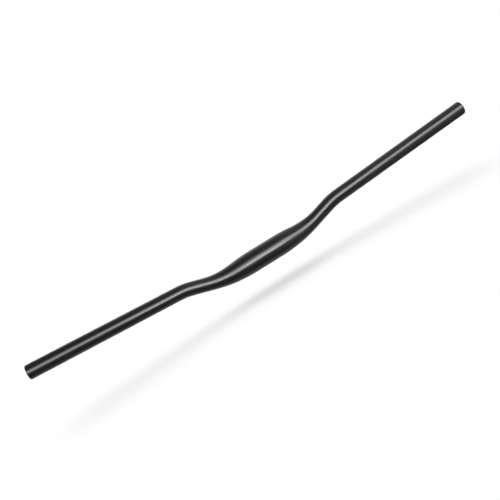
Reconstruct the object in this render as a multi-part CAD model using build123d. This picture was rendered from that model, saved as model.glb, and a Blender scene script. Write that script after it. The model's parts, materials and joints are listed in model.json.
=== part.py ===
from build123d import *
import math
import os

# A riser handlebar for a mountain bike: one aluminium tube, swaged down from a thick
# clamp zone to thin grips, bent twice on each side, and open at both tips.
# X runs along the clamp axis, +Y points forward and +Z up, as the bar sits on the bike.
# The origin is the centre of the zone that the stem clamps. Lengths are millimetres.

# Reach of the bar
tip_to_tip_width = 760.0  # between the centres of the two tips
rise = 20.0  # height of the outer bend above the clamp axis
backsweep_deg = 8.0  # turn of everything outboard of the inner bend, towards the rider
upsweep_deg = 6.0  # climb of the grips

# Bends, as corners of the centreline and the radii that round them
inner_bend_x = 80.0
outer_bend_x = 138.0
inner_bend_radius = 150.0
outer_bend_radius = 100.0

# Outside of the tube
clamp_diameter = 35.0
clamp_zone_length = 50.0
taper_length = 85.0  # from the end of the clamp zone, along the centreline
grip_diameter = 22.2

# Wall, butted: thick in the bends, thin under the grips
clamp_wall = 2.0
bend_wall = 2.5
grip_wall = 1.8
butt_length = 40.0  # run just outboard of the outer bend where the wall thins

# Tips
tip_round = 0.8
tip_bore_chamfer = 0.5

# Spacing of the sections that the formed stretch is lofted through
section_spacing = 8.0


def centreline():
    """The right half's centreline, from the origin to the tip, with both bends."""
    backsweep = math.radians(backsweep_deg)
    upsweep = math.radians(upsweep_deg)
    half_width = tip_to_tip_width / 2
    back_per_x = math.tan(backsweep)
    climb_per_x = math.tan(upsweep) / math.cos(backsweep)
    inner_corner = (inner_bend_x, 0, 0)
    outer_corner = (outer_bend_x, (inner_bend_x - outer_bend_x) * back_per_x, rise)
    tip = (
        half_width,
        (inner_bend_x - half_width) * back_per_x,
        rise + (half_width - outer_bend_x) * climb_per_x,
    )
    radii = [inner_bend_radius, outer_bend_radius]
    return FilletPolyline((0, 0, 0), inner_corner, outer_corner, tip, radius=radii)


path = centreline()
grip_line = path.edges().sort_by(Axis.X)[-1]
taper_start = clamp_zone_length / 2
taper_end = taper_start + taper_length
grip_start = path.length - grip_line.length


def blend(position, start, end):
    """Rises smoothly from 0 at start to 1 at end, level at both."""
    share = min(max((position - start) / (end - start), 0.0), 1.0)
    return share * share * (3 - 2 * share)


def outer_radius(position):
    """The tube's outside, at a distance along the centreline from the origin."""
    shrink = blend(position, taper_start, taper_end)
    return (clamp_diameter + (grip_diameter - clamp_diameter) * shrink) / 2


def bore_radius(position):
    """The tube's inside, as far as the start of the grip."""
    thicken = blend(position, taper_start, taper_end)
    return outer_radius(position) - clamp_wall - (bend_wall - clamp_wall) * thicken


def section(position, radius):
    """A disc square to the centreline."""
    centre = path.position_at(position, position_mode=PositionMode.LENGTH)
    along = path.tangent_at(position, position_mode=PositionMode.LENGTH)
    return Plane(origin=centre, x_dir=(0, 1, 0), z_dir=along) * Circle(radius)


def clamp_zone():
    """The straight middle, a plain tube about X."""
    ring = section(0, outer_radius(0)) - section(0, bore_radius(0))
    return extrude(ring, amount=taper_start, both=True)


def formed_solid(radius_at):
    """The taper and both bends as one solid, lofted through discs."""
    count = math.ceil((grip_start - taper_start) / section_spacing)
    step = (grip_start - taper_start) / count
    positions = [taper_start + step * index for index in range(count + 1)]
    return loft([section(position, radius_at(position)) for position in positions])


def grip():
    """The straight end, turned about its own axis from the profile of its wall."""
    start, along = grip_line @ 0, grip_line % 0
    outside = grip_diameter / 2
    inside = outside - grip_wall
    length = grip_line.length
    corners = [
        (0, bore_radius(grip_start)),
        (0, outside),
        (length, outside),
        (length, inside),
        (butt_length, inside),
    ]
    wall = make_face(Polyline(*corners, close=True))
    outer_corner = wall.vertices().group_by(Axis.X)[-1].sort_by(Axis.Y)[-1]
    wall = fillet(outer_corner, tip_round)
    bore_corner = wall.vertices().group_by(Axis.X)[-1].sort_by(Axis.Y)[0]
    wall = chamfer(bore_corner, tip_bore_chamfer)
    along_and_up = Plane(origin=start, x_dir=along, z_dir=along.cross(Vector(0, 0, 1)))
    return revolve(along_and_up * wall, axis=Axis(start, along))


def handlebar():
    """The whole tube, the left arm a mirror image of the right."""
    arm = formed_solid(outer_radius) - formed_solid(bore_radius) + grip()
    return clamp_zone() + arm + mirror(arm, about=Plane.YZ)


os.makedirs("parts", exist_ok=True)
export_step(handlebar(), "parts/handlebar.step")
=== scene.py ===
import json
import math

import bmesh
import bpy
from mathutils import Matrix, Vector

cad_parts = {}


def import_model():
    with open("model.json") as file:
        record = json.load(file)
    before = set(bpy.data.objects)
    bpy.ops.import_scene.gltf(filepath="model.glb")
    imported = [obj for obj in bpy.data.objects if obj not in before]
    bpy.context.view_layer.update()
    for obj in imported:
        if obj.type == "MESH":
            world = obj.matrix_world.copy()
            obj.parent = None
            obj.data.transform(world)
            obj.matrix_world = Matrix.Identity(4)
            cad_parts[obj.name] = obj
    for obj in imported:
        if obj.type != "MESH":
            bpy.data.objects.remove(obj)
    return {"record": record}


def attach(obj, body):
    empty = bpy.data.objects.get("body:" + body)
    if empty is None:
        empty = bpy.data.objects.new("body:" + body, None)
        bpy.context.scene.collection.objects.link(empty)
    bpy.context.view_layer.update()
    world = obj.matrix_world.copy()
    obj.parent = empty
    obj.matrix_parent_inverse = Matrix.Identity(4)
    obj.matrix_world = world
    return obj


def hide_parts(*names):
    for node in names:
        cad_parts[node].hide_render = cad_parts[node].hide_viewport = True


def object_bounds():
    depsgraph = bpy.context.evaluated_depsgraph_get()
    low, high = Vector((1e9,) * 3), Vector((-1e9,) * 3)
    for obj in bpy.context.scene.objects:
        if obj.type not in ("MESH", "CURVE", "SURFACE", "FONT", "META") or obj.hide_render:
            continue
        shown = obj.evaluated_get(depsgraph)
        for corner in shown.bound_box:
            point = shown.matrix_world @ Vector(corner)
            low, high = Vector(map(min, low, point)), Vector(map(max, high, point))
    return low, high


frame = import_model()        # the bar as it was built: one node, riding on the body root
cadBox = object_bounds()

# Lengths are metres. X runs along the clamp axis, +Y points forward and +Z up.
# The origin is the middle of the clamp zone.

mounts = {mount["name"]: mount for mount in frame["record"]["mounts"]}


class Wire:  # one socket of a node tree: sums written on it add their own nodes
    def __init__(self, tree, socket=None):
        self.tree = tree
        self.socket = socket

    def node(self, kind, sockets=None, out=0, **settings):
        made = self.tree.nodes.new(kind)
        for name, value in settings.items():
            setattr(made, name, value)
        for name, value in (sockets or {}).items():
            if isinstance(value, Wire):
                self.tree.links.new(value.socket, made.inputs[name])
            else:
                made.inputs[name].default_value = value
        return Wire(self.tree, made.outputs[out]) if made.outputs else made

    def other(self, name):  # another output of the node that this one comes from
        return Wire(self.tree, self.socket.node.outputs[name])

    def maths(self, operation, first, second):
        kind = "ShaderNodeVectorMath" if self.socket.type == "VECTOR" else "ShaderNodeMath"
        return self.node(kind, {0: first, 1: second}, operation=operation)

    def __add__(self, more):
        return self.maths("ADD", self, more)

    def __sub__(self, less):
        return self.maths("SUBTRACT", self, less)

    def __rsub__(self, start):
        return self.maths("SUBTRACT", start, self)

    def __mul__(self, times):
        if self.socket.type == "VECTOR":
            return self.node("ShaderNodeVectorMath", {"Vector": self, "Scale": times}, operation="SCALE")
        return self.maths("MULTIPLY", self, times)

    def __gt__(self, least):
        return self.maths("GREATER_THAN", self, least)

    def __lt__(self, most):
        return self.maths("LESS_THAN", self, most)

    __radd__ = __add__
    __rmul__ = __mul__


# Satin black anodising over fine blasting. It follows the tube, because it reads the place
# that each point had before the tube was bent.
anodising = {
    "dye": (0.0054, 0.0054, 0.0057, 1),
    "thinDye": (0.0086, 0.0083, 0.0083, 1),
    "dyePatch": 0.045,          # size of the faint patches in the dye
    "roughness": 0.30,
    "roughnessSwing": 0.05,
    "patchSwing": 0.6,          # the patches' share of that swing, the drawn lines have the rest
    "boreRoughness": 0.16,      # how much duller the bore is
    "refraction": 1.7,          # of the clear oxide layer
    "grain": 0.00045,           # size of the blasted grain
    "grainDepth": 0.000006,
    "drawnLine": 0.0011,        # width of the faint lines that drawing the tube leaves
    "drawnLength": 0.070,
    "drawnShare": 0.35,         # depth of those lines, as a share of the grain's
    "boreDrawnExtra": 2,        # what the bore adds to that depth, where the outside is 1
}
noiseMiddle = 0.5               # what a noise texture averages


def blackAnodised():
    finish = bpy.data.materials.new("blackAnodised")
    finish.use_nodes = True
    tree = finish.node_tree
    tree.nodes.clear()
    desk = Wire(tree)
    place = desk.node("ShaderNodeAttribute", out="Vector", attribute_name="straightPlace")
    bore = desk.node("ShaderNodeAttribute", out="Fac", attribute_name="bore")

    alongTube = (1 / anodising["drawnLength"], 1 / anodising["drawnLine"], 1 / anodising["drawnLine"])
    drawnPlace = desk.node("ShaderNodeMapping", {"Vector": place, "Scale": alongTube})
    noises = {
        "patches": {"Vector": place, "Scale": 1 / anodising["dyePatch"], "Detail": 5.0},
        "grain": {"Vector": place, "Scale": 1 / anodising["grain"], "Detail": 2.0},
        "drawn": {"Vector": drawnPlace, "Scale": 1.0, "Detail": 3.0},
    }
    noise = {name: desk.node("ShaderNodeTexNoise", sockets) for name, sockets in noises.items()}

    dyes = {0: noise["patches"], 6: anodising["dye"], 7: anodising["thinDye"]}
    colour = desk.node("ShaderNodeMix", dyes, out=2, data_type="RGBA")
    patchSwing = anodising["patchSwing"]
    unevenness = noise["patches"] * patchSwing + noise["drawn"] * (1 - patchSwing) - noiseMiddle
    swing = unevenness * (2 * anodising["roughnessSwing"])
    roughness = anodising["roughness"] + swing + bore * anodising["boreRoughness"]
    drawnDepth = anodising["drawnShare"] * (1 + anodising["boreDrawnExtra"] * bore)
    relief = noise["grain"] + noise["drawn"] * drawnDepth
    grained = {"Height": relief, "Distance": anodising["grainDepth"]}
    normal = desk.node("ShaderNodeBump", grained, out="Normal")

    look = {
        "Base Color": colour,
        "Roughness": roughness,
        "IOR": anodising["refraction"],
        "Normal": normal,
    }
    skin = desk.node("ShaderNodeBsdfPrincipled", look)
    desk.node("ShaderNodeOutputMaterial", {"Surface": skin})
    print("finish: black anodising")
    return finish


bar = {
    "innerCorner": Vector((0.080, 0, 0)),   # where the centreline leaves the clamp axis
    "outerCornerX": 0.138,                  # where it meets the grip's line
    "innerBendRadius": 0.150,
    "outerBendRadius": 0.100,
    "taperLength": 0.085,
    "clampWall": 0.0020,
    "bendWall": 0.0025,
    "tipRound": 0.0008,
    "tipBoreChamfer": 0.0005,
    "sides": 128,
    "formedStep": 0.0025,                   # from ring to ring, where the tube is formed
    "straightStep": 0.010,
    "tipRoundSteps": 8,
    "bendArcPoints": 48,
    "weldWithin": 1e-7,
    "creaseAngle": math.radians(30),
}
clampRadius = mounts["stem_clamp"]["dims"]["r_mm"] / 1000
clampEnd = mounts["stem_clamp"]["dims"]["length_mm"] / 2000
taperEnd = clampEnd + bar["taperLength"]
gripRadius = mounts["grip_right"]["dims"]["r_mm"] / 1000
gripLength = mounts["grip_right"]["dims"]["length_mm"] / 1000
gripAxis = Vector(mounts["grip_right"]["axis"])
gripMiddle = Vector(mounts["grip_right"]["pos_m"])
tipBoreRadius = mounts["tip_bore_right"]["dims"]["r_mm"] / 1000
tipBoreLength = mounts["tip_bore_right"]["dims"]["length_mm"] / 1000

tip = gripMiddle + gripAxis * (gripLength / 2 + bar["tipRound"])
outerCorner = tip - gripAxis * ((tip.x - bar["outerCornerX"]) / gripAxis.x)


def bend(before, corner, after, radius):  # what it takes from the straight on each side, and its arc
    turn = (corner - before).angle(after - corner)
    return radius * math.tan(turn / 2), radius * turn


innerCut, innerArc = bend(Vector(), bar["innerCorner"], outerCorner, bar["innerBendRadius"])
outerCut, outerArc = bend(bar["innerCorner"], outerCorner, tip, bar["outerBendRadius"])
gripStart = bar["innerCorner"].length + (outerCorner - bar["innerCorner"]).length + innerArc + outerArc
gripStart -= 2 * innerCut + outerCut
barEnd = gripStart + (tip - outerCorner).length - outerCut
thinWallStart = barEnd - bar["tipBoreChamfer"] - tipBoreLength


def drawCentreline():  # sharp corners, each with its bend's radius, that the tree below rounds
    right = [(bar["innerCorner"], bar["innerBendRadius"]), (outerCorner, bar["outerBendRadius"]), (tip, 0)]
    left = [(Vector((-corner.x, corner.y, corner.z)), radius) for corner, radius in reversed(right)]
    corners = left + right
    line = bpy.data.curves.new("centreline", "CURVE")
    line.dimensions = "3D"
    spline = line.splines.new("POLY")
    spline.points.add(len(corners) - 1)
    for point, (corner, radius) in zip(spline.points, corners):
        point.co = (*corner, 1)
        point.radius = radius
    drawn = bpy.data.objects.new("centreline", line)
    bpy.context.collection.objects.link(drawn)
    return drawn


def blend(place, start, end):  # rises smoothly from 0 to 1, level at both
    share = min(max((place - start) / (end - start), 0), 1)
    return share * share * (3 - 2 * share)


def outerRadius(place):
    return clampRadius + (gripRadius - clampRadius) * blend(place, clampEnd, taperEnd)


def boreRadius(place):
    if place <= gripStart:
        wall = bar["clampWall"] + (bar["bendWall"] - bar["clampWall"]) * blend(place, clampEnd, taperEnd)
        return outerRadius(place) - wall
    thickest = gripRadius - bar["bendWall"]
    share = min((place - gripStart) / (thinWallStart - gripStart), 1)
    return thickest + (tipBoreRadius - thickest) * share


def rings(end):  # places along one half, from the middle to the end
    places = [0]
    spans = [
        (clampEnd, bar["straightStep"]),
        (gripStart, bar["formedStep"]),
        (thinWallStart, bar["straightStep"]),
        (end, bar["straightStep"]),
    ]
    for reach, step in spans:
        start = places[-1]
        count = math.ceil((reach - start) / step)
        places += [start + (reach - start) * number / count for number in range(1, count + 1)]
    return places


def wallOutline():  # right half of the cut wall: out along the outside, back along the bore
    roundTurn = math.pi / 2 / bar["tipRoundSteps"]
    points = [(place, outerRadius(place)) for place in rings(barEnd - bar["tipRound"])]
    for step in range(1, bar["tipRoundSteps"] + 1):
        along = bar["tipRound"] * (math.sin(step * roundTurn) - 1)
        across = bar["tipRound"] * (math.cos(step * roundTurn) - 1)
        points.append((barEnd + along, gripRadius + across))
    points.append((barEnd, tipBoreRadius + bar["tipBoreChamfer"]))
    bore = [(place, boreRadius(place)) for place in rings(barEnd - bar["tipBoreChamfer"])]
    return points + bore[::-1]


def turnStraightTube():  # the wall's outline, spun about X
    right = wallOutline()
    left = [(-place, radius) for place, radius in right[-2:0:-1]]
    work = bmesh.new()
    corners = [work.verts.new((place, radius, 0)) for place, radius in right + left]
    edges = [work.edges.new((corners[at - 1], corners[at])) for at in range(len(corners))]
    bmesh.ops.spin(
        work,
        geom=corners + edges,
        axis=(1, 0, 0),
        angle=2 * math.pi,
        steps=bar["sides"],
        use_merge=True,
    )
    bmesh.ops.remove_doubles(work, verts=work.verts, dist=bar["weldWithin"])
    bmesh.ops.recalc_face_normals(work, faces=work.faces)
    mesh = bpy.data.meshes.new("handlebarTube")
    work.to_mesh(mesh)
    work.free()
    tube = bpy.data.objects.new("handlebarTube", mesh)
    bpy.context.collection.objects.link(tube)
    return tube


def tubeInput(tree, name):
    given = next(node for node in tree.nodes if node.bl_idname == "NodeGroupInput")
    return Wire(tree, given.outputs[name])


def bendingTree():
    tree = bpy.data.node_groups.new("bendAlongCentreline", "GeometryNodeTree")
    tree.is_modifier = True
    inputs = {
        "Straight Tube": "NodeSocketGeometry",
        "Centreline": "NodeSocketObject",
        "Arc Points": "NodeSocketInt",
        "Crease Angle": "NodeSocketFloat",
        "Finish": "NodeSocketMaterial",
    }
    for name, kind in inputs.items():
        tree.interface.new_socket(name, in_out="INPUT", socket_type=kind)
    tree.interface.new_socket("Bent Tube", in_out="OUTPUT", socket_type="NodeSocketGeometry")

    desk = Wire(tree)
    tube = desk.node("NodeGroupInput", out="Straight Tube")
    place = desk.node("GeometryNodeInputPosition")
    along = desk.node("ShaderNodeSeparateXYZ", {"Vector": place}, out="X")
    spoke = desk.node("ShaderNodeVectorMath", {0: place, 1: (0, 1, 1)}, operation="MULTIPLY")
    both = {0: spoke, 1: desk.node("GeometryNodeInputNormal")}
    facing = desk.node("ShaderNodeVectorMath", both, out="Value", operation="DOT_PRODUCT")

    keep = {"Geometry": tube, "Name": "straightPlace", "Value": place}
    tube = desk.node("GeometryNodeStoreNamedAttribute", keep, data_type="FLOAT_VECTOR", domain="POINT")
    keep = {"Geometry": tube, "Name": "bore", "Value": facing < 0}
    tube = desk.node("GeometryNodeStoreNamedAttribute", keep, data_type="FLOAT", domain="FACE")

    line = desk.node("GeometryNodeObjectInfo", {"Object": tubeInput(tree, "Centreline")}, out="Geometry")
    bendRadius = desk.node("GeometryNodeInputRadius")
    rounding = {"Curve": line, "Count": tubeInput(tree, "Arc Points"), "Radius": bendRadius}
    line = desk.node("GeometryNodeFilletCurve", rounding, mode="POLY")
    halfLength = desk.node("GeometryNodeCurveLength", {"Curve": line}) * 0.5
    reached = {"Curves": line, "Length": along + halfLength}
    centre = desk.node("GeometryNodeSampleCurve", reached, out="Position", mode="LENGTH")
    across = centre.other("Normal")
    frameSides = {0: centre.other("Tangent"), 1: across}
    upright = desk.node("ShaderNodeVectorMath", frameSides, operation="CROSS_PRODUCT")
    bent = centre + across * along.other("Y") + upright * along.other("Z")
    tube = desk.node("GeometryNodeSetPosition", {"Geometry": tube, "Position": bent})

    tube = desk.node("GeometryNodeSetShadeSmooth", {"Geometry": tube, "Shade Smooth": True}, domain="FACE")
    crease = desk.node("GeometryNodeInputMeshEdgeAngle") > tubeInput(tree, "Crease Angle")
    sharp = {"Geometry": tube, "Selection": crease, "Shade Smooth": False}
    tube = desk.node("GeometryNodeSetShadeSmooth", sharp, domain="EDGE")
    tube = desk.node("GeometryNodeRealizeInstances", {"Geometry": tube})
    tube = desk.node("GeometryNodeSetMaterial", {"Geometry": tube, "Material": tubeInput(tree, "Finish")})
    desk.node("NodeGroupOutput", {"Bent Tube": tube})
    return tree


def bendTube(tube, centreline, finish):
    bender = tube.modifiers.new("bend", "NODES")
    bender.node_group = bendingTree()
    wanted = {
        "Centreline": centreline,
        "Arc Points": bar["bendArcPoints"],
        "Crease Angle": bar["creaseAngle"],
        "Finish": finish,
    }
    for socket in bender.node_group.interface.items_tree:
        if socket.name in wanted:
            bender[socket.identifier] = wanted[socket.name]
    depsgraph = bpy.context.evaluated_depsgraph_get()
    bent = bpy.data.meshes.new_from_object(
        tube.evaluated_get(depsgraph), preserve_all_data_layers=True, depsgraph=depsgraph
    )
    tube.modifiers.remove(bender)
    tube.data = bent
    bpy.data.objects.remove(centreline)
    print("tube:", len(bent.vertices), "points,", len(bent.polygons), "faces")


tube = turnStraightTube()
bendTube(tube, drawCentreline(), blackAnodised())
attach(tube, "root")
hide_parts("handlebar")


studio = {
    "reach": 12.0,                    # radius of the floor and of the white surround
    "floorGap": 0.038,                # under the clamp zone, the lowest part of the bar
    "floorColour": (0.9, 0.9, 0.9, 1),
    "worldGrey": 0.07,
    "surroundGlow": 1.0,
}

# The key draws the soft shadow on the floor, and the fill whitens the floor round it.
suns = {
    "keySun": {"strength": 0.75, "angle": math.radians(70), "from": (-0.20, 0.35, 1), "shadow": True},
    "fillSun": {"strength": 2.65, "angle": math.radians(60), "from": (0, 0, 1), "shadow": False},
}

# The streaks are the bright lines along the tube, and the others lift its edges out of black.
# glow is the panel's own brightness, where white paper in full light is 1.
panels = {
    "streak": {"spot": (0.16, -1.15, 0.50), "aim": (0.16, 0, 0), "size": (2.4, 0.70), "glow": 4.1},
    "streakLow": {"spot": (0.03, -0.55, 0.12), "aim": (0.03, 0, 0.02), "size": (0.35, 0.10), "glow": 9.2},
    "streakRight": {"spot": (0.45, -0.55, 0.42), "aim": (0.45, 0, 0.02), "size": (0.60, 0.12), "glow": 3.5},
    "streakFront": {"spot": (0, 1.02, 0.72), "aim": (0, 0, 0), "size": (2.4, 0.30), "glow": 2.0},
    "overhead": {"spot": (0.78, 0.80, 1.0), "aim": (0.78, 0.80, 0), "size": (2.4, 1.1), "glow": 0.28},
    "overheadRight": {"spot": (1.10, 0, 1.0), "aim": (1.10, 0, 0), "size": (1.8, 0.9), "glow": 0.29},
    "sideCard": {"spot": (0.90, -1.0, -0.65), "aim": (0.30, 0, 0), "size": (1.2, 1.2), "glow": 0.24},
    "below": {"spot": (-0.30, 0.75, -1.0), "aim": (-0.30, 0.75, 0), "size": (2.0, 2.0), "glow": 0.41},
}


def surround():
    white = bpy.data.materials.new("whiteSurround")
    white.use_nodes = True
    white.node_tree.nodes.clear()
    desk = Wire(white.node_tree)
    glow = desk.node("ShaderNodeEmission", {"Color": (1, 1, 1, 1), "Strength": studio["surroundGlow"]})
    desk.node("ShaderNodeOutputMaterial", {"Surface": glow})
    work = bmesh.new()
    bmesh.ops.create_uvsphere(work, u_segments=48, v_segments=24, radius=studio["reach"])
    mesh = bpy.data.meshes.new("surround")
    work.to_mesh(mesh)
    work.free()
    mesh.materials.append(white)
    dome = bpy.data.objects.new("surround", mesh)
    bpy.context.collection.objects.link(dome)
    for ray in ("diffuse", "glossy", "transmission", "volume_scatter", "shadow"):
        setattr(dome, "visible_" + ray, False)


def floor():
    paper = bpy.data.materials.new("paleFloor")
    paper.use_nodes = True
    paper.node_tree.nodes.clear()
    desk = Wire(paper.node_tree)
    matt = desk.node("ShaderNodeBsdfDiffuse", {"Color": studio["floorColour"]})
    desk.node("ShaderNodeOutputMaterial", {"Surface": matt})
    work = bmesh.new()
    bmesh.ops.create_circle(work, cap_ends=True, segments=64, radius=studio["reach"])
    mesh = bpy.data.meshes.new("floor")
    work.to_mesh(mesh)
    work.free()
    mesh.materials.append(paper)
    sheet = bpy.data.objects.new("floor", mesh)
    bpy.context.collection.objects.link(sheet)
    sheet.location.z = cadBox[0].z - studio["floorGap"]
    sheet.visible_glossy = False
    sheet.visible_shadow = False


def sun(name):
    said = suns[name]
    lamp = bpy.data.lights.new(name, "SUN")
    lamp.energy = said["strength"]
    lamp.angle = said["angle"]
    lamp.use_shadow = said["shadow"]
    hung = bpy.data.objects.new(name, lamp)
    bpy.context.collection.objects.link(hung)
    hung.rotation_euler = (-Vector(said["from"])).to_track_quat("-Z", "Y").to_euler()
    hung.visible_glossy = False


def panel(name):
    said = panels[name]
    width, height = said["size"]
    lamp = bpy.data.lights.new(name, "AREA")
    lamp.shape = "RECTANGLE"
    lamp.size = width
    lamp.size_y = height
    lamp.energy = said["glow"] * math.pi * width * height
    hung = bpy.data.objects.new(name, lamp)
    bpy.context.collection.objects.link(hung)
    hung.location = said["spot"]
    look = Vector(said["aim"]) - Vector(said["spot"])
    hung.rotation_euler = look.to_track_quat("-Z", "Y").to_euler()
    hung.visible_camera = False
    hung.visible_diffuse = False


def world():
    room = bpy.data.worlds.new("studio")
    room.use_nodes = True
    room.node_tree.nodes.clear()
    desk = Wire(room.node_tree)
    grey = (studio["worldGrey"],) * 3 + (1,)
    light = desk.node("ShaderNodeBackground", {"Color": grey, "Strength": 1.0})
    desk.node("ShaderNodeOutputWorld", {"Surface": light})
    bpy.context.scene.world = room


surround()
floor()
world()
for name in suns:
    sun(name)
for name in panels:
    panel(name)
bpy.context.scene.view_settings.view_transform = "Standard"
print("studio: floor, surround and lights")


# The picture is square. It shows the bar from behind and a little above, with the camera
# rolled, so that the right grip points to the upper right.
view = {
    "spot": (-0.0915, -0.6913, 0.1810),
    "aim": (-0.0178, 0.0, 0.0185),
    "roll": math.radians(-30.25),
    "lens": 32.27,          # millimetres, as the sensor is
    "sensorWidth": 36,
    "clipStart": 0.01,
}


def camera():
    lens = bpy.data.cameras.new("camera")
    lens.lens = view["lens"]
    lens.sensor_width = view["sensorWidth"]
    lens.clip_start = view["clipStart"]
    stand = bpy.data.objects.new("camera", lens)
    bpy.context.collection.objects.link(stand)
    stand.location = view["spot"]
    look = Vector(view["aim"]) - Vector(view["spot"])
    level = look.to_track_quat("-Z", "Y").to_matrix()
    stand.rotation_euler = (level @ Matrix.Rotation(view["roll"], 3, "Z")).to_euler()
    bpy.context.scene.camera = stand


camera()
print("camera: behind and above, rolled")
